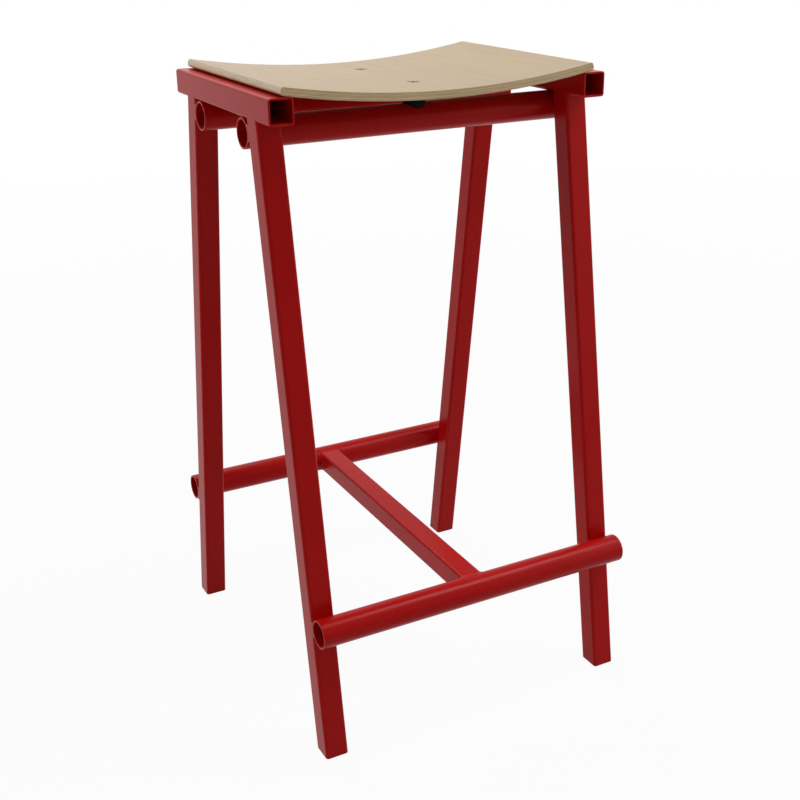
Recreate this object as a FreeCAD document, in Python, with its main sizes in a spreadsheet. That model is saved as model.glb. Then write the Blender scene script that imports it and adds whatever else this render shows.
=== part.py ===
import FreeCAD, Part
import math
import os
import Sketcher

# Bar stool: a welded tube frame with a bent plywood seat.
# Millimetres and degrees. X runs along the seat, Y to the back, Z up, with the floor at Z = 0.

ENDS = (("front", -1), ("rear", 1))
SIDES = (("left", -1), ("right", 1))

# Driving dimensions: alias, value, meaning
DIMENSIONS = (
    ("square_side", "25", "side of the square tube"),
    ("square_wall", "2", "wall of the square tube"),
    ("square_corner", "3", "outer corner radius of the square tube"),
    ("square_bore_corner", "1", "inner corner radius of the square tube"),
    ("round_diameter", "30", "outer diameter of the round tube"),
    ("round_wall", "2", "wall of the round tube"),
    ("frame_width", "366", "frame over the outer faces of the legs, along X"),
    ("frame_height", "666", "top of the end rails above the floor"),
    ("end_rail_length", "258", "length of an end rail, along Y"),
    ("end_rail_overhang", "31", "end rail past the outer face of a leg"),
    ("leg_splay", "8.9", "lean of a leg from the vertical, degrees"),
    ("footrest_height", "148.5", "axis of the footrests above the floor"),
    ("weld_gap", "0.1", "gap between a round tube and the tube it is welded to"),
    ("weld_start", "2.5", "inner edge of a flare weld from the line where the tubes meet"),
    ("weld_reach", "8.2", "outer edge of a flare weld from the line where the tubes meet"),
    ("fillet_size", "3", "side of a fillet weld"),
    ("stretcher_weld_angle", "60", "arc of a stretcher weld around the footrest, degrees"),
    ("seat_thickness", "8", "thickness of the plywood"),
    ("seat_radius", "962", "bend radius of the seat's underside"),
    ("seat_end_inset", "12.5", "seat's end in from the outer face of the end rail"),
    ("seat_edge_inset", "1", "seat's long edge in from the end of the end rail"),
    ("seat_end_round", "3", "rounding of the seat's ends, above and below"),
    ("seat_edge_round", "0.5", "rounding of the seat's long edges and corners"),
    ("seat_lift", "0.05", "gap between the seat and the end rails"),
    ("spacer_diameter", "23", "diameter of a saddle spacer"),
    ("spacer_gap", "0.05", "gap between a spacer and its rail or the seat"),
    ("screw_diameter", "6", "shank of a seat screw"),
    ("screw_length", "30", "length of a seat screw over its head"),
    ("screw_head_diameter", "12.5", "head of a seat screw"),
    ("screw_head_land", "0.5", "straight rim of the head above its 90 degree cone"),
    ("screw_tip_chamfer", "0.8", "chamfer at the tip of a seat screw"),
    ("screw_socket", "4", "hexagon socket across its flats"),
    ("screw_socket_depth", "2.6", "depth of the hexagon socket"),
    ("screw_recess", "0.3", "head below the seat's surface"),
    ("screw_clearance", "0.3", "radial clearance of a screw in the seat and the spacer"),
    ("thread_clearance", "0.05", "radial clearance of a screw in its rivet nut"),
    ("nut_shank_diameter", "9", "shank of a rivet nut"),
    ("nut_length", "15", "length of a rivet nut under its flange"),
    ("nut_flange_diameter", "12", "flange of a rivet nut"),
    ("nut_flange_thickness", "0.8", "thickness of the flange"),
    ("nut_bulge_diameter", "11.5", "set bulge of a rivet nut inside the rail"),
    ("nut_bulge_height", "3", "height of the set bulge"),
    ("nut_clearance", "0.05", "clearance of a rivet nut in the rail and the spacer"),
    ("plug_length", "18", "length of a foot plug"),
    ("plug_base", "4", "thickness of a foot plug's base"),
    ("plug_wall", "2", "wall of a foot plug"),
    ("plug_stand", "1", "foot plug below the end of the leg"),
    ("plug_gap", "0.1", "gap between a foot plug and the leg's bore"),
)

# Dimensions that follow from the driving ones: alias, formula
FORMULAS = (
    ("rail_underside", "sizes.frame_height - sizes.square_side"),
    ("square_bore", "sizes.square_side - 2 * sizes.square_wall"),
    ("round_radius", "sizes.round_diameter / 2"),
    ("round_bore_radius", "round_radius - sizes.round_wall"),
    ("weld_length", "sizes.square_side - 2 * sizes.square_corner"),
    ("splay_cos", "cos(sizes.leg_splay)"),
    ("splay_sin", "sin(sizes.leg_splay)"),
    ("splay_tan", "tan(sizes.leg_splay)"),
    ("leg_x", "(sizes.frame_width - sizes.square_side) / 2"),
    ("leg_depth", "sizes.square_side / splay_cos"),
    ("leg_bore_depth", "square_bore / splay_cos"),
    ("leg_length_z", "rail_underside - sizes.plug_stand"),
    ("leg_top_y", "sizes.end_rail_length / 2 - sizes.end_rail_overhang - leg_depth / 2"),
    ("leg_foot_y", "leg_top_y + rail_underside * splay_tan"),
    ("weld_line", "round_radius + sizes.weld_gap"),
    ("tube_offset_y", "(sizes.square_side / 2 + weld_line) / splay_cos"),
    ("seat_rail_z", "rail_underside - weld_line"),
    ("seat_rail_y", "leg_top_y + weld_line * splay_tan - tube_offset_y"),
    ("footrest_y", "leg_top_y + (rail_underside - sizes.footrest_height) * splay_tan + tube_offset_y"),
    ("seat_length", "sizes.frame_width - 2 * sizes.seat_end_inset"),
    ("seat_depth", "sizes.end_rail_length - 2 * sizes.seat_edge_inset"),
    ("seat_top_radius", "sizes.seat_radius - sizes.seat_thickness"),
    ("support_x", "sizes.frame_width / 2 - sizes.square_side + sizes.square_corner"),
    ("support_radius", "sizes.seat_radius + sizes.seat_lift + sizes.square_corner"),
    ("seat_rise", "sqrt(support_radius ^ 2 - support_x ^ 2) - sizes.seat_radius"),
    ("seat_bottom_z", "sizes.frame_height - sizes.square_corner + seat_rise"),
    ("spacer_radius", "sizes.spacer_diameter / 2"),
    ("spacer_top", "seat_bottom_z - sizes.spacer_gap - seat_rail_z"),
    ("spacer_saddle", "round_radius + sizes.spacer_gap"),
    ("spacer_recess", "round_radius + sizes.nut_flange_thickness + sizes.nut_clearance"),
    ("spacer_recess_radius", "sizes.nut_flange_diameter / 2 + sizes.nut_clearance"),
    ("screw_radius", "sizes.screw_diameter / 2"),
    ("screw_hole_radius", "screw_radius + sizes.screw_clearance"),
    ("screw_head_radius", "sizes.screw_head_diameter / 2"),
    ("screw_head_depth", "sizes.screw_head_land + screw_head_radius - screw_radius"),
    ("screw_head_z", "seat_bottom_z + sizes.seat_thickness - sizes.screw_recess"),
    ("sink_radius", "screw_head_radius + sizes.screw_clearance"),
    ("sink_land_z", "sizes.seat_thickness - sizes.screw_recess - sizes.screw_head_land"),
    ("sink_cone_z", "sizes.seat_thickness - sizes.screw_recess - screw_head_depth"),
    ("nut_shank_radius", "sizes.nut_shank_diameter / 2"),
    ("nut_hole_radius", "nut_shank_radius + sizes.nut_clearance"),
    ("nut_bore_radius", "screw_radius + sizes.thread_clearance"),
    ("nut_bulge_radius", "sizes.nut_bulge_diameter / 2"),
    ("nut_bulge_z", "sqrt(round_bore_radius ^ 2 - nut_bulge_radius ^ 2) - sizes.nut_clearance"),
    ("plug_width", "square_bore - 2 * sizes.plug_gap"),
    ("plug_depth", "plug_width / splay_cos"),
    ("plug_cavity_width", "plug_width - 2 * sizes.plug_wall"),
    ("plug_cavity_depth", "plug_cavity_width / splay_cos"),
)

doc = FreeCAD.newDocument("bar_stool")
sizes = doc.addObject("Spreadsheet::Sheet", "sizes")
derived = doc.addObject("Spreadsheet::Sheet", "derived")
parts = []


def fill_sheets():
    """Write the driving dimensions and the formulas that follow from them."""
    for row, (alias, number, meaning) in enumerate(DIMENSIONS, start=1):
        sizes.set(f"A{row}", meaning)
        sizes.set(f"B{row}", number)
        sizes.setAlias(f"B{row}", alias)
    doc.recompute()
    for row, (alias, formula) in enumerate(FORMULAS, start=1):
        derived.set(f"A{row}", f"={formula}")
        derived.setAlias(f"A{row}", alias)
    doc.recompute()


def value(cell):
    """Number held by a cell, named as sheet.alias."""
    sheet, alias = cell.split(".")
    return float(getattr(doc.getObject(sheet), alias))


def new_body(label, x="0", y="0", z="0", turn=None):
    """Body of one sub-part, placed by expressions and turned about X where asked."""
    body = doc.addObject("PartDesign::Body", label)
    body.Label = label
    body.AllowCompound = True
    if turn:
        body.Placement.Rotation = FreeCAD.Rotation(FreeCAD.Vector(1, 0, 0), 1)
        body.setExpression("Placement.Rotation.Angle", turn)
    for axis, formula in zip("xyz", (x, y, z)):
        body.setExpression(f"Placement.Base.{axis}", formula)
    parts.append(body)
    return body


def new_sketch(body, name, plane, offset=None):
    """Sketch on one of the body's own origin planes, moved along its normal where asked."""
    sketch = body.newObject("Sketcher::SketchObject", name)
    support = next(item for item in body.Origin.OriginFeatures if item.Role == plane)
    sketch.AttachmentSupport = [(support, "")]
    sketch.MapMode = "FlatFace"
    if offset:
        sketch.setExpression("AttachmentOffset.Base.z", offset)
    return sketch


def dimension(sketch, kind, elements, formula):
    """Add a dimension to a sketch and bind it to a formula."""
    if kind == "Radius":
        present = sketch.Geometry[elements[0]].Radius
    else:
        apart = sketch.getPoint(elements[2], elements[3]) - sketch.getPoint(elements[0], elements[1])
        present = apart.x if kind == "DistanceX" else apart.y
    index = sketch.addConstraint(Sketcher.Constraint(kind, *elements, present))
    sketch.setExpression(f"Constraints[{index}]", formula)


def add_circle(sketch, radius):
    """Circle about the sketch's origin, its radius a cell."""
    circle = Part.Circle(FreeCAD.Vector(), FreeCAD.Vector(0, 0, 1), value(radius))
    index = sketch.addGeometry(circle)
    sketch.addConstraint(Sketcher.Constraint("Coincident", index, 3, -1, 1))
    dimension(sketch, "Radius", (index,), radius)


def add_rounded_rectangle(sketch, width, depth, corner):
    """Rectangle about the sketch's origin with round corners, its sizes cells."""
    half_x, half_y, radius = value(width) / 2, value(depth) / 2, value(corner)
    in_x, in_y = half_x - radius, half_y - radius
    normal = FreeCAD.Vector(0, 0, 1)
    first = sketch.GeometryCount
    lines = (
        ((-in_x, -half_y), (in_x, -half_y)),
        ((half_x, -in_y), (half_x, in_y)),
        ((in_x, half_y), (-in_x, half_y)),
        ((-half_x, in_y), (-half_x, -in_y)),
    )
    for start, end in lines:
        sketch.addGeometry(Part.LineSegment(FreeCAD.Vector(*start, 0), FreeCAD.Vector(*end, 0)))
    corners = ((in_x, -in_y), (in_x, in_y), (-in_x, in_y), (-in_x, -in_y))
    for number, centre in enumerate(corners):
        circle = Part.Circle(FreeCAD.Vector(*centre, 0), normal, radius)
        start = (number - 1) * math.pi / 2
        sketch.addGeometry(Part.ArcOfCircle(circle, start, start + math.pi / 2))
    for number in range(4):
        line, arc = first + number, first + 4 + number
        following = first + (number + 1) % 4
        sketch.addConstraint(Sketcher.Constraint("Tangent", line, 2, arc, 1))
        sketch.addConstraint(Sketcher.Constraint("Tangent", arc, 2, following, 1))
        sketch.addConstraint(Sketcher.Constraint("Vertical" if number % 2 else "Horizontal", line))
        if number:
            sketch.addConstraint(Sketcher.Constraint("Equal", first + 4, arc))
    sketch.addConstraint(Sketcher.Constraint("Symmetric", first + 5, 3, first + 7, 3, -1, 1))
    dimension(sketch, "DistanceX", (first + 3, 1, first + 1, 1), width)
    dimension(sketch, "DistanceY", (first, 1, first + 2, 1), depth)
    dimension(sketch, "Radius", (first + 4,), corner)


def add_outline(sketch, corners):
    """Closed outline with straight sides. A coordinate is a formula, "-(formula)" or "0"."""
    first = sketch.GeometryCount
    count = len(corners)
    places = []
    for number, corner in enumerate(corners):
        signs = [0 if text == "0" else -1 if text.startswith("-") else 1 for text in corner]
        places.append(FreeCAD.Vector(signs[0] * (2 + number), signs[1] * (3 + 2 * number), 0))
    for number in range(count):
        sketch.addGeometry(Part.LineSegment(places[number], places[(number + 1) % count]))
    for number, corner in enumerate(corners):
        following = first + (number + 1) % count
        sketch.addConstraint(Sketcher.Constraint("Coincident", first + number, 2, following, 1))
        vertex = (first + number, 1)
        for kind, axis, text in (("DistanceX", -2, corner[0]), ("DistanceY", -1, corner[1])):
            if text == "0":
                sketch.addConstraint(Sketcher.Constraint("PointOnObject", *vertex, axis))
            elif text.startswith("-"):
                dimension(sketch, kind, (*vertex, -1, 1), text[1:])
            else:
                dimension(sketch, kind, (-1, 1, *vertex), text)


def pad(body, name, sketch, length, symmetric=False, direction=None):
    """Pad a sketch, along a slanted direction where asked."""
    feature = body.newObject("PartDesign::Pad", name)
    feature.Profile = sketch
    feature.setExpression("Length", length)
    if symmetric:
        feature.SideType = "Symmetric"
    if direction:
        feature.UseCustomVector = True
        feature.AlongSketchNormal = True
        for axis, formula in zip("xyz", direction):
            feature.setExpression(f"Direction.{axis}", formula)
    return feature


def pocket_through(body, name, sketch, symmetric=True, upward=False):
    """Cut a sketch right through the body, to both sides or upward only."""
    feature = body.newObject("PartDesign::Pocket", name)
    feature.Profile = sketch
    feature.Type = "ThroughAll"
    if symmetric:
        feature.SideType = "Symmetric"
    feature.Reversed = upward
    return feature


def turned(body, kind, name, sketch, axis="V_Axis", angle="360", midplane=False):
    """Revolve a sketch about one of its own axes, as material or as a cut."""
    feature = body.newObject(kind, name)
    feature.Profile = sketch
    feature.ReferenceAxis = (sketch, [axis])
    feature.Midplane = midplane
    feature.setExpression("Angle", angle)
    return feature


def edge_names(feature, wanted):
    """Names of the edges of a feature that pass a test."""
    return [f"Edge{number}" for number, edge in enumerate(feature.Shape.Edges, start=1) if wanted(edge)]


def fillet(body, name, base, edges, radius):
    """Round some edges of a feature."""
    feature = body.newObject("PartDesign::Fillet", name)
    feature.Base = (base, edges)
    feature.setExpression("Radius", radius)
    doc.recompute()
    return feature


def end_rail(side, sign):
    """Square tube along Y under one end of the seat."""
    label = f"end_rail_{side}"
    body = new_body(label, x=f"{sign} * derived.leg_x", z="sizes.frame_height - sizes.square_side / 2")
    section = new_sketch(body, f"{label}_section", "XZ_Plane")
    add_rounded_rectangle(section, "sizes.square_side", "sizes.square_side", "sizes.square_corner")
    add_rounded_rectangle(section, "derived.square_bore", "derived.square_bore", "sizes.square_bore_corner")
    pad(body, f"{label}_tube", section, "sizes.end_rail_length", symmetric=True)


def leg(end, end_sign, side, side_sign):
    """Square tube that leans outward, cut level under the end rail and above the floor."""
    label = f"leg_{end}_{side}"
    body = new_body(
        label,
        x=f"{side_sign} * derived.leg_x",
        y=f"{end_sign} * derived.leg_top_y",
        z="derived.rail_underside",
    )
    section = new_sketch(body, f"{label}_section", "XY_Plane")
    add_rounded_rectangle(section, "sizes.square_side", "derived.leg_depth", "sizes.square_corner")
    add_rounded_rectangle(
        section, "derived.square_bore", "derived.leg_bore_depth", "sizes.square_bore_corner"
    )
    slant = ("0", f"{end_sign} * derived.splay_tan", "-1")
    pad(body, f"{label}_tube", section, "derived.leg_length_z", direction=slant)


def round_tube(label, y, z):
    """Round tube along X over the whole width of the frame."""
    body = new_body(label, y=y, z=z)
    section = new_sketch(body, f"{label}_section", "YZ_Plane")
    add_circle(section, "derived.round_radius")
    add_circle(section, "derived.round_bore_radius")
    pad(body, f"{label}_tube", section, "sizes.frame_width", symmetric=True)
    return body


def seat_rail(end, sign):
    """Round tube against the legs' inner faces, with a hole for its rivet nut."""
    label = f"seat_rail_{end}"
    body = round_tube(label, f"{sign} * derived.seat_rail_y", "derived.seat_rail_z")
    hole = new_sketch(body, f"{label}_nut_hole", "XY_Plane")
    add_circle(hole, "derived.nut_hole_radius")
    pocket_through(body, f"{label}_drilled", hole, symmetric=False, upward=True)


def footrest(end, sign):
    """Round tube against the legs' outer faces."""
    round_tube(f"footrest_{end}", f"{sign} * derived.footrest_y", "sizes.footrest_height")


def stretcher():
    """Square tube along Y, coped to fit the two footrests."""
    body = new_body("stretcher", z="sizes.footrest_height")
    section = new_sketch(body, "stretcher_section", "XZ_Plane")
    add_rounded_rectangle(section, "sizes.square_side", "sizes.square_side", "sizes.square_corner")
    add_rounded_rectangle(section, "derived.square_bore", "derived.square_bore", "sizes.square_bore_corner")
    pad(body, "stretcher_tube", section, "2 * derived.footrest_y", symmetric=True)
    for end, sign in ENDS:
        cope = new_sketch(body, f"stretcher_cope_{end}", "YZ_Plane")
        centre = FreeCAD.Vector(sign * value("derived.footrest_y"), 0, 0)
        cope.addGeometry(Part.Circle(centre, FreeCAD.Vector(0, 0, 1), value("derived.weld_line")))
        cope.addConstraint(Sketcher.Constraint("PointOnObject", 0, 3, -1))
        outward = (-1, 1, 0, 3) if sign > 0 else (0, 3, -1, 1)
        dimension(cope, "DistanceX", outward, "derived.footrest_y")
        dimension(cope, "Radius", (0,), "derived.weld_line")
        pocket_through(body, f"stretcher_coped_{end}", cope)


def seat_shell():
    """Plywood sheet bent to one radius, with countersunk holes over the seat rails."""
    body = new_body("seat_shell", z="derived.seat_bottom_z")
    section = new_sketch(body, "seat_section", "XZ_Plane")
    radius = value("sizes.seat_radius")
    half_angle = math.asin(value("derived.seat_length") / 2 / radius)
    start, end = -math.pi / 2 - half_angle, -math.pi / 2 + half_angle
    centre = FreeCAD.Vector(0, radius, 0)
    for bend in (radius, value("derived.seat_top_radius")):
        circle = Part.Circle(centre, FreeCAD.Vector(0, 0, 1), bend)
        section.addGeometry(Part.ArcOfCircle(circle, start, end))
    for point in (1, 2):
        ends = (section.getPoint(0, point), section.getPoint(1, point))
        line = section.addGeometry(Part.LineSegment(*ends))
        section.addConstraint(Sketcher.Constraint("Coincident", line, 1, 0, point))
        section.addConstraint(Sketcher.Constraint("Coincident", line, 2, 1, point))
        section.addConstraint(Sketcher.Constraint("PointOnObject", 0, 3, line))
    section.addConstraint(Sketcher.Constraint("Coincident", 0, 3, 1, 3))
    section.addConstraint(Sketcher.Constraint("PointOnObject", 0, 3, -2))
    section.addConstraint(Sketcher.Constraint("Horizontal", 0, 1, 0, 2))
    dimension(section, "DistanceY", (-1, 1, 0, 3), "sizes.seat_radius")
    dimension(section, "Radius", (0,), "sizes.seat_radius")
    dimension(section, "Radius", (1,), "derived.seat_top_radius")
    dimension(section, "DistanceX", (0, 1, 0, 2), "derived.seat_length")
    sheet = pad(body, "seat_sheet", section, "derived.seat_depth", symmetric=True)
    doc.recompute()

    def runs_along_an_end(edge):
        along = edge.Vertexes[1].Point - edge.Vertexes[0].Point
        return edge.Curve.TypeId == "Part::GeomLine" and abs(along.y) > along.Length / 2

    ends = fillet(body, "seat_ends", sheet, edge_names(sheet, runs_along_an_end), "sizes.seat_end_round")
    sides = [
        face for face in ends.Shape.Faces
        if face.Surface.TypeId == "Part::GeomPlane" and abs(face.Surface.Axis.y) > abs(face.Surface.Axis.x)
    ]

    def borders_a_side(edge):
        return any(edge.isSame(other) for face in sides for other in face.Edges)

    rim = edge_names(ends, borders_a_side)
    fillet(body, "seat_edges", ends, rim, "sizes.seat_edge_round")
    above, below = "(2 * sizes.seat_thickness)", "sizes.seat_thickness"
    for name, sign in ENDS:
        sink = new_sketch(body, f"seat_sink_{name}", "XZ_Plane", offset=f"{-sign} * derived.seat_rail_y")
        add_outline(sink, (
            ("0", f"-{below}"),
            ("derived.screw_hole_radius", f"-{below}"),
            ("derived.screw_hole_radius", "derived.sink_cone_z"),
            ("derived.sink_radius", "derived.sink_land_z"),
            ("derived.sink_radius", above),
            ("0", above),
        ))
        turned(body, "PartDesign::Groove", f"seat_sunk_{name}", sink)


def spacer(end, sign):
    """Round saddle between the seat and a seat rail, hollowed for the rivet nut's flange."""
    label = f"spacer_{end}"
    body = new_body(label, y=f"{sign} * derived.seat_rail_y", z="derived.seat_rail_z")
    disc = new_sketch(body, f"{label}_disc", "XY_Plane")
    add_circle(disc, "derived.spacer_radius")
    add_circle(disc, "derived.screw_hole_radius")
    pad(body, f"{label}_puck", disc, "derived.spacer_top")
    saddle = new_sketch(body, f"{label}_saddle", "YZ_Plane")
    add_circle(saddle, "derived.spacer_saddle")
    pocket_through(body, f"{label}_seated", saddle)
    flange = new_sketch(body, f"{label}_flange", "XY_Plane")
    add_circle(flange, "derived.spacer_recess_radius")
    recess = body.newObject("PartDesign::Pocket", f"{label}_recess")
    recess.Profile = flange
    recess.Reversed = True
    recess.setExpression("Length", "derived.spacer_recess")


def seat_screw(end, sign):
    """Countersunk screw with a hexagon socket. Its body starts at the top of the head."""
    label = f"seat_screw_{end}"
    body = new_body(label, y=f"{sign} * derived.seat_rail_y", z="derived.screw_head_z")
    profile = new_sketch(body, f"{label}_profile", "XZ_Plane")
    add_outline(profile, (
        ("0", "0"),
        ("derived.screw_head_radius", "0"),
        ("derived.screw_head_radius", "-sizes.screw_head_land"),
        ("derived.screw_radius", "-derived.screw_head_depth"),
        ("derived.screw_radius", "-(sizes.screw_length - sizes.screw_tip_chamfer)"),
        ("(derived.screw_radius - sizes.screw_tip_chamfer)", "-sizes.screw_length"),
        ("0", "-sizes.screw_length"),
    ))
    turned(body, "PartDesign::Revolution", f"{label}_turned", profile)
    socket = new_sketch(body, f"{label}_socket", "XY_Plane")
    reach = "sizes.screw_socket / sqrt(3)"
    half, tall = f"({reach} / 2)", "(sizes.screw_socket / 2)"
    add_outline(socket, (
        (f"({reach})", "0"),
        (half, tall),
        (f"-{half}", tall),
        (f"-({reach})", "0"),
        (f"-{half}", f"-{tall}"),
        (half, f"-{tall}"),
    ))
    cut = body.newObject("PartDesign::Pocket", f"{label}_socketed")
    cut.Profile = socket
    cut.setExpression("Length", "sizes.screw_socket_depth")


def rivet_nut(end, sign):
    """Threaded insert, set in the top wall of a seat rail. Its body starts at the rail's axis."""
    label = f"rivet_nut_{end}"
    body = new_body(label, y=f"{sign} * derived.seat_rail_y", z="derived.seat_rail_z")
    flange_top = "(derived.round_radius + sizes.nut_flange_thickness)"
    foot = "(derived.round_radius - sizes.nut_length)"
    bulge_foot = "(derived.nut_bulge_z - sizes.nut_bulge_height)"
    profile = new_sketch(body, f"{label}_profile", "XZ_Plane")
    add_outline(profile, (
        ("derived.nut_bore_radius", foot),
        ("derived.nut_shank_radius", foot),
        ("derived.nut_shank_radius", bulge_foot),
        ("derived.nut_bulge_radius", bulge_foot),
        ("derived.nut_bulge_radius", "derived.nut_bulge_z"),
        ("derived.nut_shank_radius", "derived.nut_bulge_z"),
        ("derived.nut_shank_radius", "derived.round_radius"),
        ("(sizes.nut_flange_diameter / 2)", "derived.round_radius"),
        ("(sizes.nut_flange_diameter / 2)", flange_top),
        ("derived.nut_bore_radius", flange_top),
    ))
    turned(body, "PartDesign::Revolution", f"{label}_turned", profile)


def foot_plug(end, end_sign, side, side_sign):
    """Plastic cup in the lower end of a leg, standing a little below it."""
    label = f"foot_plug_{end}_{side}"
    body = new_body(label, x=f"{side_sign} * derived.leg_x", y=f"{end_sign} * derived.leg_foot_y")
    slant = ("0", f"{-end_sign} * derived.splay_tan", "1")
    base = new_sketch(body, f"{label}_base_section", "XY_Plane")
    add_rounded_rectangle(base, "derived.plug_width", "derived.plug_depth", "sizes.square_bore_corner")
    pad(body, f"{label}_base", base, "sizes.plug_base", direction=slant)
    wall = new_sketch(body, f"{label}_wall_section", "XY_Plane")
    add_rounded_rectangle(wall, "derived.plug_width", "derived.plug_depth", "sizes.square_bore_corner")
    add_rounded_rectangle(
        wall, "derived.plug_cavity_width", "derived.plug_cavity_depth", "sizes.square_bore_corner"
    )
    pad(body, f"{label}_wall", wall, "sizes.plug_length", direction=slant)


def leg_weld(end, end_sign, side, side_sign):
    """Fillet welds under the end rail, on the outer and inner faces of a leg."""
    label = f"leg_weld_{end}_{side}"
    body = new_body(
        label,
        x=f"{side_sign} * derived.leg_x",
        y=f"{end_sign} * derived.leg_top_y",
        z="derived.rail_underside",
    )
    section = new_sketch(body, f"{label}_section", "YZ_Plane")
    size, half = "sizes.fillet_size", "derived.leg_depth / 2"
    drop = f"-({size} * derived.splay_cos)"
    shift = f"{size} * derived.splay_sin"
    outward, inward = ("", "-") if end_sign > 0 else ("-", "")
    add_outline(section, (
        (f"{outward}({half})", "0"),
        (f"{outward}({half} + {size})", "0"),
        (f"{outward}({half} + {shift})", drop),
    ))
    add_outline(section, (
        (f"{inward}({half})", "0"),
        (f"{inward}({half} + {size})", "0"),
        (f"{inward}({half} - {shift})", drop),
    ))
    pad(body, f"{label}_beads", section, "derived.weld_length", symmetric=True)


def flare_weld(label, x, y, z, turn):
    """Welds above and below the line where a round tube meets the flat face of a leg.

    The body starts at the round tube's axis, with its Y axis turned to face the leg.
    """
    body = new_body(label, x=x, y=y, z=z, turn=turn)
    section = new_sketch(body, f"{label}_section", "YZ_Plane")
    radius, face = value("derived.round_radius"), value("derived.weld_line")
    near, far = value("sizes.weld_start"), value("sizes.weld_reach")
    circle = Part.Circle(FreeCAD.Vector(), FreeCAD.Vector(0, 0, 1), radius)
    for sign in (1, -1):
        first = section.GeometryCount
        angles = sorted(sign * math.asin(height / radius) for height in (near, far))
        section.addGeometry(Part.ArcOfCircle(circle, *angles))
        arc_near, arc_far = (1, 2) if sign > 0 else (2, 1)
        on_face = [FreeCAD.Vector(face, sign * height, 0) for height in (near, far)]
        on_tube = [section.getPoint(first, point) for point in (arc_near, arc_far)]
        section.addGeometry(Part.LineSegment(on_face[0], on_face[1]))
        section.addGeometry(Part.LineSegment(on_tube[0], on_face[0]))
        section.addGeometry(Part.LineSegment(on_tube[1], on_face[1]))
        leg_face, near_end, far_end = first + 1, first + 2, first + 3
        section.addConstraint(Sketcher.Constraint("Coincident", near_end, 1, first, arc_near))
        section.addConstraint(Sketcher.Constraint("Coincident", near_end, 2, leg_face, 1))
        section.addConstraint(Sketcher.Constraint("Coincident", far_end, 1, first, arc_far))
        section.addConstraint(Sketcher.Constraint("Coincident", far_end, 2, leg_face, 2))
        section.addConstraint(Sketcher.Constraint("Coincident", first, 3, -1, 1))
        section.addConstraint(Sketcher.Constraint("Vertical", leg_face))
        section.addConstraint(Sketcher.Constraint("Horizontal", near_end))
        section.addConstraint(Sketcher.Constraint("Horizontal", far_end))
        dimension(section, "Radius", (first,), "derived.round_radius")
        dimension(section, "DistanceX", (-1, 1, leg_face, 1), "derived.weld_line")
        for point, cell in ((1, "sizes.weld_start"), (2, "sizes.weld_reach")):
            outward = (-1, 1, leg_face, point) if sign > 0 else (leg_face, point, -1, 1)
            dimension(section, "DistanceY", outward, cell)
    pad(body, f"{label}_beads", section, "derived.weld_length", symmetric=True)


def tube_welds(end, end_sign, side, side_sign):
    """Welds of a seat rail and of a footrest to one leg."""
    x = f"{side_sign} * derived.leg_x"
    rail_turn = "sizes.leg_splay" if end_sign > 0 else "180 - sizes.leg_splay"
    rest_turn = "180 + sizes.leg_splay" if end_sign > 0 else "360 - sizes.leg_splay"
    rail_y, rest_y = f"{end_sign} * derived.seat_rail_y", f"{end_sign} * derived.footrest_y"
    flare_weld(f"seat_rail_weld_{end}_{side}", x, rail_y, "derived.seat_rail_z", rail_turn)
    flare_weld(f"footrest_weld_{end}_{side}", x, rest_y, "sizes.footrest_height", rest_turn)


def stretcher_weld(end, sign):
    """Fillet welds around a footrest, on the left and right faces of the stretcher."""
    label = f"stretcher_weld_{end}"
    body = new_body(label, y=f"{sign} * derived.footrest_y", z="sizes.footrest_height")
    section = new_sketch(body, f"{label}_section", "XY_Plane")
    inward = "-" if sign > 0 else ""
    side, size = "sizes.square_side / 2", "sizes.fillet_size"
    for hand in ("", "-"):
        add_outline(section, (
            (f"{hand}({side})", f"{inward}(derived.round_radius)"),
            (f"{hand}({side} + {size})", f"{inward}(derived.round_radius)"),
            (f"{hand}({side})", f"{inward}(derived.weld_line + {size})"),
        ))
    turned(
        body, "PartDesign::Revolution", f"{label}_beads", section,
        axis="H_Axis", angle="sizes.stretcher_weld_angle", midplane=True,
    )


def build():
    """Make every sub-part."""
    seat_shell()
    for side, side_sign in SIDES:
        end_rail(side, side_sign)
    for end, end_sign in ENDS:
        seat_rail(end, end_sign)
        footrest(end, end_sign)
        spacer(end, end_sign)
        seat_screw(end, end_sign)
        rivet_nut(end, end_sign)
        stretcher_weld(end, end_sign)
        for side, side_sign in SIDES:
            leg(end, end_sign, side, side_sign)
            foot_plug(end, end_sign, side, side_sign)
            leg_weld(end, end_sign, side, side_sign)
            tube_welds(end, end_sign, side, side_sign)
    stretcher()
    doc.recompute()


def write_parts():
    """Check every object of the document, then write one file for each sub-part."""
    for item in doc.Objects:
        faults = [state for state in item.State if state in ("Invalid", "Error")]
        if faults:
            raise RuntimeError(f"{item.Label}: {faults}")
    os.makedirs("parts", exist_ok=True)
    for body in parts:
        if body.Shape.isNull() or not body.Shape.isValid() or not body.Shape.Solids:
            raise RuntimeError(f"{body.Label}: no valid solid")
        body.Shape.exportStep(f"parts/{body.Label}.step")
        print(f"{body.Label}: {len(body.Shape.Solids)} solid(s), {body.Shape.Volume / 1000:.2f} cm3")


fill_sheets()
build()
write_parts()
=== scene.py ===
import math

import bmesh
import bpy
from mathutils import Matrix, Vector


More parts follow.
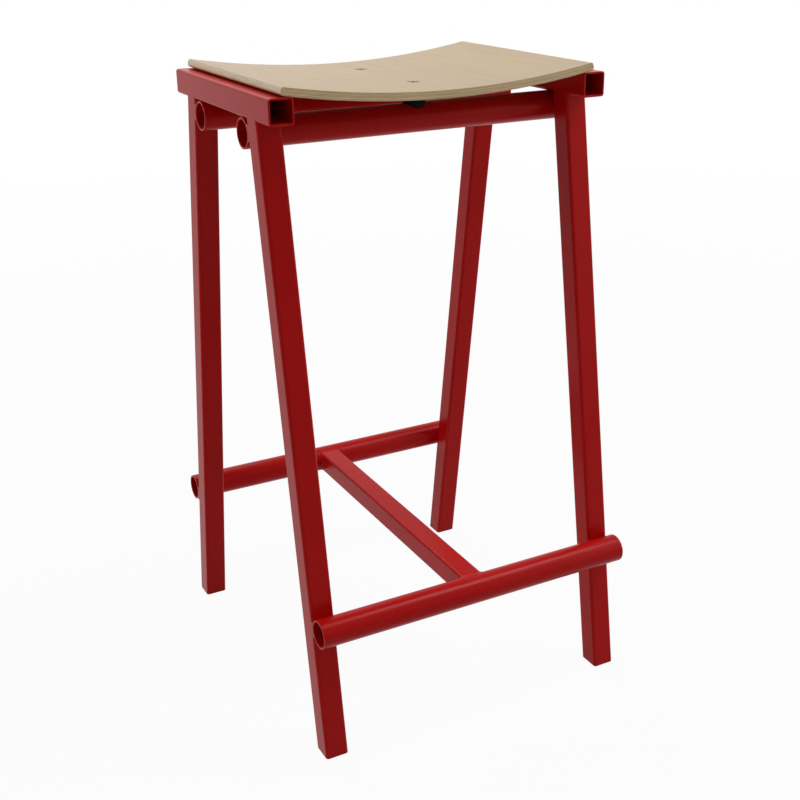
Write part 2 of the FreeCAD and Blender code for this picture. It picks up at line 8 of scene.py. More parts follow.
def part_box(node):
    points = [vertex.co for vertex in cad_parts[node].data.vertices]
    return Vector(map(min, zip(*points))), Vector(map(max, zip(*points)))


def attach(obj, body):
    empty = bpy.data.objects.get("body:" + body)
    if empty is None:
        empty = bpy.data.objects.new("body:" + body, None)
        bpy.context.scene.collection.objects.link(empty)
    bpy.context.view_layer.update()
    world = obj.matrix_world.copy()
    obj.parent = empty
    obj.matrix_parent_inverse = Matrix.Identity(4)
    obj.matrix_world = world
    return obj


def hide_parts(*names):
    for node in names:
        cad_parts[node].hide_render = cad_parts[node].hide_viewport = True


# Bar stool: a red welded tube frame with a bent plywood seat, on a white studio floor.
# Metres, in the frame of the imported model: X along the seat, Y to the back, Z up.

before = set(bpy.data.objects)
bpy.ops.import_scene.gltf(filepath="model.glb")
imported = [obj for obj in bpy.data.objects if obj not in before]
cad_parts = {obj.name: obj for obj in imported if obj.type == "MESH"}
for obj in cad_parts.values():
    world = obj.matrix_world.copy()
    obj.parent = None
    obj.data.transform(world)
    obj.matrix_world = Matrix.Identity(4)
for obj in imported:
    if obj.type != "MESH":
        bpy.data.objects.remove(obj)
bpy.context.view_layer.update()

ENDS = (("front", -1), ("rear", 1))
SIDES = (("left", -1), ("right", 1))
QUARTER_TURN = math.pi / 2
WHITE = (1, 1, 1, 1)

# Tube frame
TUBE_WALL = 0.002
SQUARE_CORNER = 0.003
RIM_ROUND = 0.0005
CORNER_STEPS = 8
CIRCLE_STEPS = 80
RIM_STEPS = 3

# Weld beads. The hollow and the tip are shares of a bead's section.
WELD_GAP = 0.0001
FILLET_SIZE = 0.0028
FLARE_START = 0.0025
FLARE_REACH = 0.0082
BEAD_TAPER = 0.0022
BEAD_HOLLOW = 0.12
BEAD_TIP = 0.3
BEAD_STEPS = 8

# Ripples across a bead. The lean is a share of their pitch.
RIPPLE_PITCH = 0.0026
RIPPLE_HEIGHT = 0.0001
RIPPLE_LEAN = 0.45
RIPPLE_STEPS = 6

# How near a point lies to a level, the angle of a sharp edge, and how far large faces lead the shading
LEVEL_WITHIN = 0.00002
SHARP_ANGLE = math.radians(50)
NORMAL_WEIGHT = 90

# Bent plywood
SEAT_RADIUS = 0.962
SEAT_THICKNESS = 0.008
PLY_COUNT = 5

# In the materials below, a grain is a noise's scale along X, Y and Z, and a span is the part of its
# range that is used. A shade multiplies a colour, and a bump is a strength and a height.
NOISE_SPAN = (0.3, 0.7)

# Red powder coat
PAINT_DEEP = (0.445, 0.0037, 0.0033, 1)
PAINT_BRIGHT = (0.478, 0.0046, 0.0042, 1)
PAINT_CLOUD_GRAIN = (9, 9, 9)
PAINT_GLOSS_GRAIN = (240, 240, 240)
PAINT_PEEL_GRAIN = (900, 900, 900)
PAINT_ROUGHNESS = (0.275, 0.295)
PAINT_SPECULAR = 0.09
PAINT_BUMP = (0.02, 0.0002)

# Birch veneer with its grain along Y
VENEER_PALE = (0.463, 0.344, 0.205, 1)
VENEER_WARM = (0.445, 0.327, 0.205, 1)
TONE_GRAIN = (14, 3, 14)
STREAK_GRAIN = (420, 10, 420)
STREAK_SPAN = (0.35, 0.7)
STREAK_SHADE = (1.02, 0.95)
PORE_GRAIN = (1500, 70, 1500)
PORE_SPAN = (0.62, 0.72)
PORE_SHADE = (1, 0.92)
WOOD_ROUGHNESS = (0.46, 0.58)
WOOD_SPECULAR = 0.35
WOOD_BUMP = (0.12, 0.0002)

# Plies on the seat's edges, with depths counted in plies
PLY_OUTER = (0.5, 0.395, 0.26, 1)
# Inner plies on the seat's ends: a paler core, lightened further by painted sheen
PLY_CORE_WITH_PAINTED_SHEEN = (0.88, 0.75, 0.54, 1)
PLY_LONG_EDGE = (0.72, 0.515, 0.28, 1)
PLY_SHADE = 0.98
END_CONTRAST = -0.04
LONG_CONTRAST = 0.14
LONG_EDGE_NORMAL = (0.3, 0.8)
SKIN_DEPTH = (0.1, 0.5)
INNER_DEPTH = (0.6, 1.2)
SPECKLE_GRAIN = (1800, 1800, 1800)
SPECKLE_SPAN = (0.35, 0.65)
SPECKLE_SHADE = (0.88, 1.06)
PATCH_GRAIN = (35, 35, 400)
PATCH_SHADE = (0.88, 1.08)

# Glue between the plies
GLUE = (0.16, 0.1, 0.05, 1)
SEAM_WIDTH = (0.05, 0.14)
SEAM_DEPTH = (0.3, 0.5)
SEAM_STRENGTH = 0.34
SEAM_ON_ENDS = 0.3

# Black plastic
PLASTIC_DARK = (0.0041, 0.0041, 0.0041, 1)
PLASTIC_DUSTY = (0.0056, 0.0054, 0.0052, 1)
DUST_GRAIN = (120, 120, 120)
DUST_SPAN = (0.35, 0.7)
PLASTIC_GRAIN = (1400, 1400, 1400)
PLASTIC_ROUGHNESS = (0.45, 0.62)
PLASTIC_SPECULAR = 0.05
PLASTIC_BUMP = (0.1, 0.0002)

# Plated steel
SCREW_DARK = (0.2, 0.17, 0.13, 1)
SCREW_LIGHT = (0.26, 0.22, 0.17, 1)
SCREW_ROUGHNESS = (0.45, 0.6)
NUT_DARK = (0.5, 0.5, 0.48, 1)
NUT_LIGHT = (0.6, 0.6, 0.58, 1)
NUT_ROUGHNESS = (0.28, 0.42)
MARK_GRAIN = (500, 500, 4000)
PLATING_GRAIN = (400, 400, 400)
PLATING_SPAN = (0.35, 0.65)
STEEL_BUMP = (0.06, 0.0001)

# Studio walls, which glow between two heights. A height is the sine of its elevation.
WALL_GLOW = 0.47
GLOW_RISE = (0.2, 0.45)
GLOW_FALL = (0.65, 0.85)

# Studio floor, its share of white, and the distances over which that share rises
FLOOR_HALF = 40
FLOOR_GREY = (0.62, 0.62, 0.62, 1)
FLOOR_WHITE = (0.95, 1)
FLOOR_FADE = (0.8, 3)

# Softboxes: name, place, aim, side and watts
SOFTBOXES = (
    ("overhead", (1.1, -0.4, 2.4), (0, -0.1, 0.4), 0.85, 24),
    ("back", (0, 1.6, 2.2), (0, 0, 0.4), 1.3, 20),
    ("left_fill", (-2.3, 0.6, 1.6), (0, 0, 0.4), 1.6, 15.5),
    ("right_fill", (1.9, -1.2, 1.8), (0, 0, 0.4), 1.2, 8),
    ("front_fill", (1.3, -1.5, 0.7), (0.15, -0.1, 0.4), 1.0, 2),
)

# Camera, with its lens and sensor in millimetres
CAMERA_PLACE = (-0.57991, -1.14006, 0.81938)
CAMERA_AZIMUTH = math.radians(28.01)
CAMERA_TILT = math.radians(21.81)
CAMERA_ROLL = math.radians(0.586)
CAMERA_LENS = 54.17
CAMERA_SENSOR = 36
CAMERA_SHIFT = (-0.0148, -0.0106)


# Meshes

def quarter_turns(steps):
    """Angles from none to a quarter turn."""
    return [step / steps * QUARTER_TURN for step in range(steps + 1)]


def rounded_outline(half_x, half_y, corner):
    """Rectangle about the origin with round corners."""
    points = []
    for quarter, (sign_x, sign_y) in enumerate(((1, 1), (-1, 1), (-1, -1), (1, -1))):
        for turn in quarter_turns(CORNER_STEPS):
            angle = quarter * QUARTER_TURN + turn
            x = sign_x * (half_x - corner) + corner * math.cos(angle)
            y = sign_y * (half_y - corner) + corner * math.sin(angle)
            points.append((x, y))
    return points


def circle_outline(radius):
    """Circle about the origin."""
    turns = [2 * math.pi * step / CIRCLE_STEPS for step in range(CIRCLE_STEPS)]
    return [(radius * math.cos(turn), radius * math.sin(turn)) for turn in turns]


def wall_path(length):
    """Closed way round a tube's wall, as depth under the outer face and place along the tube."""
    turns = quarter_turns(RIM_STEPS)
    outer = [(RIM_ROUND * (1 - math.cos(turn)), RIM_ROUND * (1 - math.sin(turn))) for turn in turns]
    inner = [(TUBE_WALL - depth, along) for depth, along in reversed(outer)]
    far = [(depth, length - along) for depth, along in reversed(outer + inner)]
    return outer + inner + far


def add_loft(shape, sections):
    """Skin through sections of points: a ring where the last section is the first, and else a closed bar."""
    ring = sections[0] is sections[-1]
    rows = [[shape.verts.new(point) for point in section] for section in sections[:-1]]
    rows.append(rows[0] if ring else [shape.verts.new(point) for point in sections[-1]])
    size = len(rows[0])
    for here, there in zip(rows, rows[1:]):
        for step in range(size):
            after = (step + 1) % size
            shape.faces.new((here[step], here[after], there[after], there[step]))
    if not ring:
        shape.faces.new(rows[0])
        shape.faces.new(rows[-1])


def loft_mesh(name, lofts):
    """Mesh of lofts, with its faces turned outwards."""
    shape = bmesh.new()
    for sections in lofts:
        add_loft(shape, sections)
    shape.normal_update()
    bmesh.ops.recalc_face_normals(shape, faces=shape.faces)
    if shape.calc_volume(signed=True) < 0:
        bmesh.ops.reverse_faces(shape, faces=shape.faces)
    mesh = bpy.data.meshes.new(name)
    shape.to_mesh(mesh)
    shape.free()
    return mesh


def add_piece(name, node, lofts):
    """Painted piece that stands for a node, made of lofts."""
    mesh = loft_mesh(node, lofts)
    mesh.shade_smooth()
    mesh.set_sharp_from_angle(angle=SHARP_ANGLE)
    mesh.materials.append(red_paint)
    piece = bpy.data.objects.new(name, mesh)
    bpy.context.scene.collection.objects.link(piece)
    normals = piece.modifiers.new("normals", "WEIGHTED_NORMAL")
    normals.weight = NORMAL_WEIGHT
    normals.keep_sharp = True
    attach(piece, "root")
    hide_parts(node)


def add_tube(node, outline, place, length):
    """Tube with round rims. outline gives the section at a depth, place puts a point of it."""
    rings = [[place(point, along) for point in outline(depth)] for depth, along in wall_path(length)]
    add_piece(f"{node}_tube", node, [rings + rings[:1]])


def add_beads(node, welds):
    """Piece with all the welds of a node."""
    add_piece(f"{node}_beads", node, welds)


# Sizes read from the frame

def level_box(node, z):
    """Lowest and highest corner of a node's points at one height."""
    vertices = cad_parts[node].data.vertices
    points = [vertex.co for vertex in vertices if abs(vertex.co.z - z) < LEVEL_WITHIN]
    low = Vector([min(point[axis] for point in points) for axis in range(3)])
    high = Vector([max(point[axis] for point in points) for axis in range(3)])
    return low, high


def leg_ends(node):
    """Level boxes of a leg's top and of its foot."""
    low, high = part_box(node)
    return level_box(node, high.z), level_box(node, low.z)


def leg_slope(node):
    """Unit vector up a leg."""
    top, foot = leg_ends(node)
    return (top[0] + top[1] - foot[0] - foot[1]).normalized()


def round_size(node):
    """Middle and radius of a round tube along X."""
    low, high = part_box(node)
    return (low + high) / 2, (high.z - low.z) / 2


# Tube frame

def square_outline(half_x, half_y):
    """Section of square tube at a depth under its outer face."""
    def outline(depth):
        return rounded_outline(half_x - depth, half_y - depth, SQUARE_CORNER - depth)
    return outline


def round_tube(node):
    """Round tube along X."""
    low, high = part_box(node)
    middle, radius = round_size(node)

    def place(point, along):
        return Vector((low.x + along, middle.y + point[0], middle.z + point[1]))

    add_tube(node, lambda depth: circle_outline(radius - depth), place, high.x - low.x)


def end_rail(node):
    """Square tube along Y."""
    low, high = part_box(node)
    middle, half = (low + high) / 2, (high - low) / 2

    def place(point, along):
        return Vector((middle.x + point[0], low.y + along, middle.z + point[1]))

    add_tube(node, square_outline(half.x, half.z), place, high.y - low.y)


def leg(node):
    """Square tube that leans, cut level at both ends."""
    top, foot = leg_ends(node)
    top_middle, foot_middle = (top[0] + top[1]) / 2, (foot[0] + foot[1]) / 2
    half = (top[1] - top[0]) / 2
    height = top_middle.z - foot_middle.z

    def place(point, along):
        return top_middle.lerp(foot_middle, along / height) + Vector((point[0], point[1], 0))

    add_tube(node, square_outline(half.x, half.y), place, height)


def stretcher():
    """Square tube along Y, coped to the two footrests."""
    low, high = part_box("stretcher")
    middle, half = (low + high) / 2, (high - low) / 2
    rest, rest_radius = round_size("footrest_rear")
    reach = rest_radius + WELD_GAP
    length = high.y - low.y

    def place(point, along):
        end = rest.y - math.sqrt(reach ** 2 - point[1] ** 2)
        return Vector((middle.x + point[0], end * (2 * along / length - 1), middle.z + point[1]))

    add_tube("stretcher", square_outline(half.x, half.z), place, length)


# Weld beads

def bead_section(root, toe, other, phase, swell):
    """Section of a bead: its root, and its hollow, rippled face from toe to toe."""
    outward = (toe + other) / 2 - root
    hollow = BEAD_HOLLOW * min((other - toe).length, 2 * outward.length)
    outward.normalize()
    section = [root]
    for step in range(BEAD_STEPS + 1):
        across = step / BEAD_STEPS
        arch = math.sin(across * math.pi)
        ripple = RIPPLE_HEIGHT * (1 + math.cos(2 * math.pi * (phase + RIPPLE_LEAN * arch))) / 2
        rise = (ripple - hollow) * arch
        point = toe.lerp(other, across) + outward * rise
        section.append(root.lerp(point, swell))
    return section


def bead(place, length, closed=False):
    """Sections of a rippled bead. place gives its root and two toes at a share of its length."""
    count = max(1, round(length / RIPPLE_PITCH)) * RIPPLE_STEPS
    sections = []
    for number in range(count if closed else count + 1):
        share = number / count
        taper = 1 if closed else min(1, min(share, 1 - share) * length / BEAD_TAPER)
        swell = BEAD_TIP + (1 - BEAD_TIP) * math.sin(taper * QUARTER_TURN)
        sections.append(bead_section(*place(share), number / RIPPLE_STEPS, swell))
    if closed:
        sections.append(sections[0])
    return sections


def flush_fill(top, hand):
    """Sections of the weld dressed flush between a leg's side and the round lower edge of its end rail."""
    face = top[1].x if hand > 0 else top[0].x
    core_x, core_z = face - hand * SQUARE_CORNER, top[1].z + SQUARE_CORNER
    bottom = top[1].z - RIM_ROUND
    turns = quarter_turns(CORNER_STEPS)[:-1]
    near = [(top[0].y + SQUARE_CORNER * (1 - math.sin(turn)), turn) for turn in reversed(turns)]
    far = [(top[1].y - SQUARE_CORNER * (1 - math.sin(turn)), turn) for turn in turns]
    sections = []
    for y, turn in near + far:
        reach = SQUARE_CORNER * math.cos(turn)
        section = [Vector((core_x, y, bottom)), Vector((core_x + hand * reach, y, bottom))]
        for step in range(CORNER_STEPS + 1):
            lean = (1 - step / CORNER_STEPS) * math.asin(reach / SQUARE_CORNER)
            x = core_x + hand * SQUARE_CORNER * math.sin(lean)
            section.append(Vector((x, y, core_z - SQUARE_CORNER * math.cos(lean))))
        sections.append(section)
    return sections


def leg_weld(end, side):
    """Fillets under the end rail on two faces of a leg, and welds dressed flush on the other two."""
    node, leg_node = f"leg_weld_{end}_{side}", f"leg_{end}_{side}"
    low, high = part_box(node)
    top = leg_ends(leg_node)[0]
    down = -leg_slope(leg_node)
    welds = [flush_fill(top, hand) for hand in (-1, 1)]
    for face, outward in ((top[0].y, -1), (top[1].y, 1)):
        def place(share, face=face, outward=outward):
            root = Vector((low.x + share * (high.x - low.x), face, top[1].z))
            return root, root + Vector((0, outward * FILLET_SIZE, 0)), root + down * FILLET_SIZE
        welds.append(bead(place, high.x - low.x))
    add_beads(node, welds)


def flush_end(outer, hand, on_leg, on_tube, reach_turn):
    """Sections of the weld dressed flush where a round tube ends level with a leg's side."""
    sections = []
    for turn in quarter_turns(CORNER_STEPS):
        x = outer - hand * SQUARE_CORNER * (1 - math.sin(turn))
        depth = SQUARE_CORNER * (1 - math.cos(turn))
        arc = [on_tube(x, (2 * part / BEAD_STEPS - 1) * reach_turn) for part in range(BEAD_STEPS + 1)]
        sections.append([on_leg(x, FLARE_REACH, depth), on_leg(x, -FLARE_REACH, depth), *arc])
    return sections


def flare_weld(kind, end, side, side_sign, toward):
    """Beads above and below the line where a round tube meets a leg, and a flush weld at the tube's end."""
    node, tube = f"{kind}_weld_{end}_{side}", f"{kind}_{end}"
    low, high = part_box(node)
    middle, radius = round_size(tube)
    up = leg_slope(f"leg_{end}_{side}")
    facing = Vector((0, up.z, -up.y)) * toward
    reach_turn = math.asin(FLARE_REACH / radius)

    def axis(x):
        return Vector((x, middle.y, middle.z))

    def on_tube(x, turn):
        return axis(x) + (facing * math.cos(turn) + up * math.sin(turn)) * radius

    def on_leg(x, rise, depth=0.0):
        return axis(x) + facing * (radius + WELD_GAP + depth) + up * rise

    welds = []
    for hand in (1, -1):
        def place(share, hand=hand):
            x = low.x + share * (high.x - low.x)
            toes = on_leg(x, hand * FLARE_REACH), on_tube(x, hand * reach_turn)
            return (on_leg(x, hand * FLARE_START), *toes)
        welds.append(bead(place, high.x - low.x))
    outer = side_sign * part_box(tube)[1].x
    welds.append(flush_end(outer, side_sign, on_leg, on_tube, reach_turn))
    add_beads(node, welds)


def stretcher_weld(end, end_sign):
    """Fillet all round the end of the stretcher, on a footrest."""
    middle, radius = round_size(f"footrest_{end}")
    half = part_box("stretcher")[1].x
    flat, arc = 2 * (half - SQUARE_CORNER), SQUARE_CORNER * QUARTER_TURN
    length = 4 * (flat + arc)

    def on_rest(x, turn):
        return Vector((x, middle.y - end_sign * radius * math.cos(turn), middle.z + radius * math.sin(turn)))

    def place(share):
        quarter, along = divmod(share * length, flat + arc)
        turn = max(0, along - flat) / SQUARE_CORNER
        corner = Vector((half - SQUARE_CORNER, min(along, flat) - flat / 2))
        spin = Matrix.Rotation(quarter * QUARTER_TURN, 2)
        out = spin @ Vector((math.cos(turn), math.sin(turn)))
        point = spin @ corner + out * SQUARE_CORNER
        rise = math.asin(point.y / radius)
        root = on_rest(point.x, rise)
        on_side = on_rest(point.x + out.x * FILLET_SIZE, rise + out.y * FILLET_SIZE / radius)
        return root, on_side, root + Vector((0, -end_sign * FILLET_SIZE, 0))

    add_beads(f"stretcher_weld_{end}", [bead(place, length, closed=True)])


# Shader nodes

def new_material(name):
    """Material with one principled shader, its tree and that shader."""
    material = bpy.data.materials.new(name)
    material.use_nodes = True
    tree = material.node_tree
    return material, tree, tree.nodes["Principled BSDF"]


def add_node(tree, kind, inputs, **settings):
    """Add a node, set its properties, and set or link its inputs by their identifiers."""
    item = tree.nodes.new(kind)
    for key, setting in settings.items():
        setattr(item, key, setting)
    sockets = {socket.identifier: socket for socket in item.inputs}
    for key, given in inputs.items():
        if isinstance(given, bpy.types.NodeSocket):
            tree.links.new(given, sockets[key])
        else:
            sockets[key].default_value = given
    return item


def combine(tree, operation, first, second=0.0):
    """Output of a math node."""
    item = add_node(tree, "ShaderNodeMath", {"Value": first, "Value_001": second}, operation=operation)
    return item.outputs[0]


def stretch(tree, given, low, high, new_low=0, new_high=1):
    """A number moved from one range to another, held at its ends."""
    item = add_node(tree, "ShaderNodeMapRange", {
        "Value": given, "From Min": low, "From Max": high, "To Min": new_low, "To Max": new_high,
    })
    return item.outputs[0]


def mix(tree, factor, first, second, blend="MIX"):
    """Colour between two colours."""
    item = add_node(
        tree, "ShaderNodeMix", {"Factor_Float": factor, "A_Color": first, "B_Color": second},
        data_type="RGBA", blend_type=blend,
    )
    return next(socket for socket in item.outputs if socket.identifier == "Result_Color")


def mix_shaders(tree, share, first, second):
    """Output of a shader between those of two nodes."""
    item = add_node(tree, "ShaderNodeMixShader", {
        "Fac": share, "Shader": first.outputs[0], "Shader_001": second.outputs[0],
    })
    return item.outputs[0]


def grain(tree, scale, detail=3, roughness=0.5):
    """Noise over the object, its scale given for each axis."""
    place = tree.nodes.new("ShaderNodeTexCoord").outputs["Object"]
    factors = {"Vector": place, "Vector_001": scale}
    scaled = add_node(tree, "ShaderNodeVectorMath", factors, operation="MULTIPLY").outputs[0]
    item = add_node(tree, "ShaderNodeTexNoise", {
        "Vector": scaled, "Scale": 1, "Detail": detail, "Roughness": roughness,
    })
    return item.outputs["Fac"]


def set_surface(tree, shader, colour, rough, height, bump):
    """Give a shader its colour, its roughness and a bump by a height."""
    tree.links.new(colour, shader.inputs["Base Color"])
    tree.links.new(rough, shader.inputs["Roughness"])
    strength, distance = bump
    item = add_node(tree, "ShaderNodeBump", {"Height": height, "Strength": strength, "Distance": distance})
    tree.links.new(item.outputs[0], shader.inputs["Normal"])


# Materials

def make_red_paint():
    """Satin red powder coat with a fine orange peel."""
    material, tree, shader = new_material("red_powder_coat")
    cloud = stretch(tree, grain(tree, PAINT_CLOUD_GRAIN, detail=4), *NOISE_SPAN)
    colour = mix(tree, cloud, PAINT_DEEP, PAINT_BRIGHT)
    rough = stretch(tree, grain(tree, PAINT_GLOSS_GRAIN), *NOISE_SPAN, *PAINT_ROUGHNESS)
    peel = grain(tree, PAINT_PEEL_GRAIN, detail=2)
    set_surface(tree, shader, colour, rough, peel, PAINT_BUMP)
    shader.inputs["Specular IOR Level"].default_value = PAINT_SPECULAR
    return material


def ply_depth(tree, seat_bottom):
    """Depth under the upper face of the bent seat, counted in plies."""
    place = tree.nodes.new("ShaderNodeTexCoord").outputs["Object"]
    parts = add_node(tree, "ShaderNodeSeparateXYZ", {"Vector": place}).outputs
    below_axis = combine(tree, "SUBTRACT", seat_bottom + SEAT_RADIUS, parts["Z"])
    squares = [combine(tree, "POWER", offset, 2) for offset in (below_axis, parts["X"])]
    radius = combine(tree, "SQRT", combine(tree, "ADD", *squares))
    return stretch(tree, radius, SEAT_RADIUS - SEAT_THICKNESS, SEAT_RADIUS, 0, PLY_COUNT)


def long_edge_share(tree):
    """1 on the seat's long edges, and 0 on its ends and its faces."""
    facing = tree.nodes.new("ShaderNodeNewGeometry").outputs["True Normal"]
    normal = add_node(tree, "ShaderNodeSeparateXYZ", {"Vector": facing}).outputs
    return stretch(tree, combine(tree, "ABSOLUTE", normal["Y"]), *LONG_EDGE_NORMAL)


def ply_shade(tree, depth, long_edge):
    """Shade of the plies. 1, 3 and 5 run along Y, 2 and 4 along X, and end grain is darker."""
    crossed = combine(tree, "MODULO", combine(tree, "FLOOR", depth), 2)
    contrast = stretch(tree, long_edge, 0, 1, END_CONTRAST, LONG_CONTRAST)
    step = combine(tree, "MULTIPLY", combine(tree, "SUBTRACT", crossed, 0.5), contrast)
    speckle = stretch(tree, grain(tree, SPECKLE_GRAIN, detail=2), *SPECKLE_SPAN, *SPECKLE_SHADE)
    patch = stretch(tree, grain(tree, PATCH_GRAIN), *NOISE_SPAN, *PATCH_SHADE)
    texture = combine(tree, "MULTIPLY", speckle, patch)
    return combine(tree, "MULTIPLY", combine(tree, "ADD", step, PLY_SHADE), texture)


def edge_colour(tree, depth, under_skin):
    """Plies on the seat's edges, with thin seams of glue that show most on the long edges. The inner plies
    on the ends are a paler core, lightened further by painted sheen.
    """
    long_edge = long_edge_share(tree)
    # On the ends the inner plies turn pale: partly a paler core, partly painted sheen
    end_tone_with_painted_sheen = mix(tree, stretch(tree, under_skin, *INNER_DEPTH), PLY_OUTER, PLY_CORE_WITH_PAINTED_SHEEN)
    tone = mix(tree, long_edge, end_tone_with_painted_sheen, PLY_LONG_EDGE)
    plies = mix(tree, 1, tone, ply_shade(tree, depth, long_edge), "MULTIPLY")
    off_seam = combine(tree, "PINGPONG", depth, 0.5)
    seam = stretch(tree, off_seam, *SEAM_WIDTH, SEAM_STRENGTH, 0)
    inside = stretch(tree, under_skin, *SEAM_DEPTH)
    shown = combine(tree, "MULTIPLY", inside, stretch(tree, long_edge, 0, 1, SEAM_ON_ENDS, 1))
    return mix(tree, combine(tree, "MULTIPLY", seam, shown), plies, GLUE)


def make_plywood(seat_bottom):
    """Birch plywood: veneer on its faces, and plies with crossed grain on its edges."""
    material, tree, shader = new_material("birch_plywood")
    depth = ply_depth(tree, seat_bottom)
    under_skin = combine(tree, "PINGPONG", depth, PLY_COUNT / 2)
    tone = stretch(tree, grain(tree, TONE_GRAIN), *NOISE_SPAN)
    streak = stretch(tree, grain(tree, STREAK_GRAIN, detail=4, roughness=0.6), *STREAK_SPAN, *STREAK_SHADE)
    pore = stretch(tree, grain(tree, PORE_GRAIN, detail=2), *PORE_SPAN, *PORE_SHADE)
    shade = combine(tree, "MULTIPLY", streak, pore)
    faces = mix(tree, 1, mix(tree, tone, VENEER_PALE, VENEER_WARM), shade, "MULTIPLY")
    edges = edge_colour(tree, depth, under_skin)
    colour = mix(tree, stretch(tree, under_skin, *SKIN_DEPTH), faces, edges)
    rough = stretch(tree, streak, *STREAK_SHADE, *WOOD_ROUGHNESS)
    set_surface(tree, shader, colour, rough, shade, WOOD_BUMP)
    shader.inputs["Specular IOR Level"].default_value = WOOD_SPECULAR
    return material


def make_black_plastic():
    """Matte moulded plastic with a little dust."""
    material, tree, shader = new_material("black_plastic")
    dust = stretch(tree, grain(tree, DUST_GRAIN, detail=4), *DUST_SPAN)
    colour = mix(tree, dust, PLASTIC_DARK, PLASTIC_DUSTY)
    fine = grain(tree, PLASTIC_GRAIN, detail=2)
    rough = stretch(tree, fine, *NOISE_SPAN, *PLASTIC_ROUGHNESS)
    set_surface(tree, shader, colour, rough, fine, PLASTIC_BUMP)
    shader.inputs["Specular IOR Level"].default_value = PLASTIC_SPECULAR
    return material


def make_steel(name, dark, light, roughness):
    """Plated steel with cloudy plating and fine turning marks."""
    material, tree, shader = new_material(name)
    cloud = stretch(tree, grain(tree, PLATING_GRAIN, detail=4), *PLATING_SPAN)
    marks = grain(tree, MARK_GRAIN, detail=2)
    rough = stretch(tree, marks, *NOISE_SPAN, *roughness)
    set_surface(tree, shader, mix(tree, cloud, dark, light), rough, marks, STEEL_BUMP)
    shader.inputs["Metallic"].default_value = 1
    return material


def dress_node(node, material):
    """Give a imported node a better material."""
    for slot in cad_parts[node].material_slots:
        slot.material = material


# Studio

def seen_directly(tree):
    """1 for rays from the camera, from a reflection or through glass, otherwise 0."""
    path = tree.nodes.new("ShaderNodeLightPath").outputs
    shiny = combine(tree, "MAXIMUM", path["Is Glossy Ray"], path["Is Transmission Ray"])
    return combine(tree, "MAXIMUM", path["Is Camera Ray"], shiny)


def make_world():
    """White where it is seen, and a soft glow from its upper walls where it lights."""
    world = bpy.data.worlds.new("studio")
    bpy.context.scene.world = world
    world.use_nodes = True
    tree = world.node_tree
    tree.nodes.clear()
    way = tree.nodes.new("ShaderNodeTexCoord").outputs["Generated"]
    height = add_node(tree, "ShaderNodeSeparateXYZ", {"Vector": way}).outputs["Z"]
    rise = stretch(tree, height, *GLOW_RISE, 0, WALL_GLOW)
    glow = combine(tree, "MULTIPLY", rise, stretch(tree, height, *GLOW_FALL, 1, 0))
    light = add_node(tree, "ShaderNodeBackground", {"Color": WHITE, "Strength": glow})
    backdrop = add_node(tree, "ShaderNodeBackground", {"Color": WHITE, "Strength": 1})
    surface = mix_shaders(tree, seen_directly(tree), light, backdrop)
    add_node(tree, "ShaderNodeOutputWorld", {"Surface": surface})


def make_floor_white():
    """Matte white that keeps a faint shadow near the stool and runs into the backdrop further out."""
    material = bpy.data.materials.new("floor_white")
    material.use_nodes = True
    tree = material.node_tree
    tree.nodes.clear()
    matte = add_node(tree, "ShaderNodeBsdfDiffuse", {"Color": FLOOR_GREY})
    glow = add_node(tree, "ShaderNodeEmission", {"Color": WHITE, "Strength": 1})
    place = tree.nodes.new("ShaderNodeNewGeometry").outputs["Position"]
    away = add_node(tree, "ShaderNodeVectorMath", {"Vector": place}, operation="LENGTH").outputs["Value"]
    share = combine(tree, "MULTIPLY", seen_directly(tree), stretch(tree, away, *FLOOR_FADE, *FLOOR_WHITE))
    add_node(tree, "ShaderNodeOutputMaterial", {"Surface": mix_shaders(tree, share, matte, glow)})
    return material


def make_floor():
    """Wide level floor under the feet."""
    corners = [(FLOOR_HALF * x, FLOOR_HALF * y, 0) for x, y in ((-1, -1), (1, -1), (1, 1), (-1, 1))]
    mesh = bpy.data.meshes.new("floor")
    mesh.from_pydata(corners, [], [(0, 1, 2, 3)])
    mesh.materials.append(make_floor_white())
    floor = bpy.data.objects.new("floor", mesh)
    bpy.context.scene.collection.objects.link(floor)


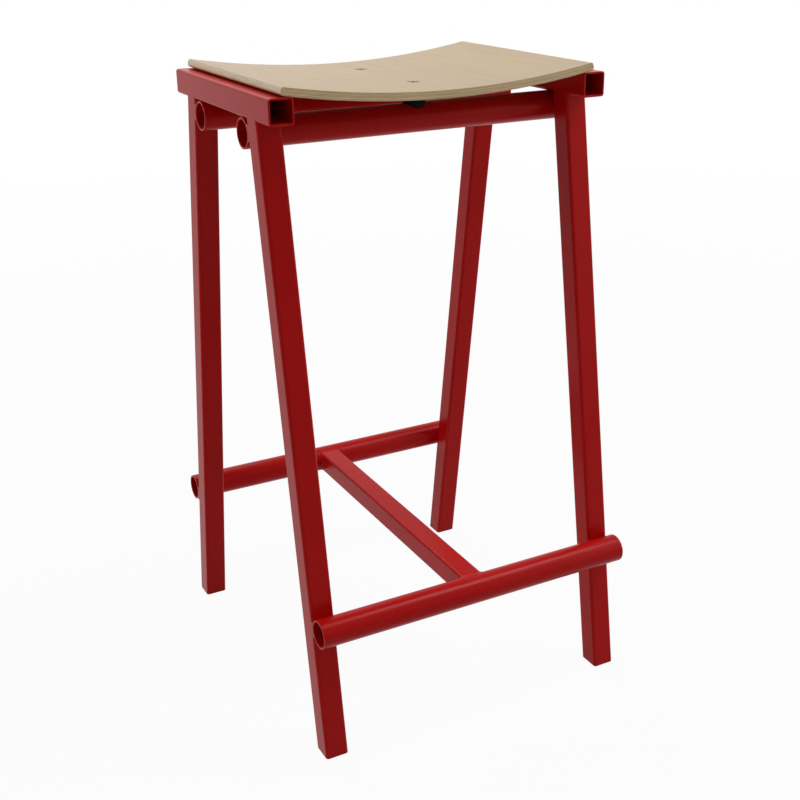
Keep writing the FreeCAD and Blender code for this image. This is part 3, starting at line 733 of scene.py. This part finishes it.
def add_softbox(name, place, target, side, power):
    """Square light aimed at a point."""
    data = bpy.data.lights.new(name, "AREA")
    data.shape = "SQUARE"
    data.size = side
    data.energy = power
    lamp = bpy.data.objects.new(name, data)
    lamp.location = place
    lamp.rotation_mode = "QUATERNION"
    lamp.rotation_quaternion = (Vector(target) - Vector(place)).to_track_quat("-Z", "Y")
    bpy.context.scene.collection.objects.link(lamp)


def make_camera():
    """Camera at the viewing angle of the photograph."""
    data = bpy.data.cameras.new("camera")
    data.lens = CAMERA_LENS
    data.sensor_width = CAMERA_SENSOR
    data.shift_x, data.shift_y = CAMERA_SHIFT
    camera = bpy.data.objects.new("camera", data)
    turn = (
        Matrix.Rotation(-CAMERA_AZIMUTH, 4, "Z")
        @ Matrix.Rotation(QUARTER_TURN - CAMERA_TILT, 4, "X")
        @ Matrix.Rotation(-CAMERA_ROLL, 4, "Z")
    )
    camera.matrix_world = Matrix.Translation(CAMERA_PLACE) @ turn
    bpy.context.scene.collection.objects.link(camera)
    bpy.context.scene.camera = camera


# The stool

red_paint = make_red_paint()
plywood = make_plywood(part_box("seat_shell")[0].z)
black_plastic = make_black_plastic()
screw_steel = make_steel("screw_steel_dark", SCREW_DARK, SCREW_LIGHT, SCREW_ROUGHNESS)
nut_steel = make_steel("nut_steel_zinc", NUT_DARK, NUT_LIGHT, NUT_ROUGHNESS)

stretcher()
for side, _ in SIDES:
    end_rail(f"end_rail_{side}")
for end, end_sign in ENDS:
    round_tube(f"seat_rail_{end}")
    round_tube(f"footrest_{end}")
    stretcher_weld(end, end_sign)
    dress_node(f"spacer_{end}", black_plastic)
    dress_node(f"seat_screw_{end}", screw_steel)
    dress_node(f"rivet_nut_{end}", nut_steel)
    for side, side_sign in SIDES:
        leg(f"leg_{end}_{side}")
        leg_weld(end, side)
        flare_weld("seat_rail", end, side, side_sign, end_sign)
        flare_weld("footrest", end, side, side_sign, -end_sign)
        dress_node(f"foot_plug_{end}_{side}", black_plastic)
dress_node("seat_shell", plywood)

make_world()
make_floor()
for softbox in SOFTBOXES:
    add_softbox(*softbox)
make_camera()
bpy.context.scene.view_settings.view_transform = "Standard"
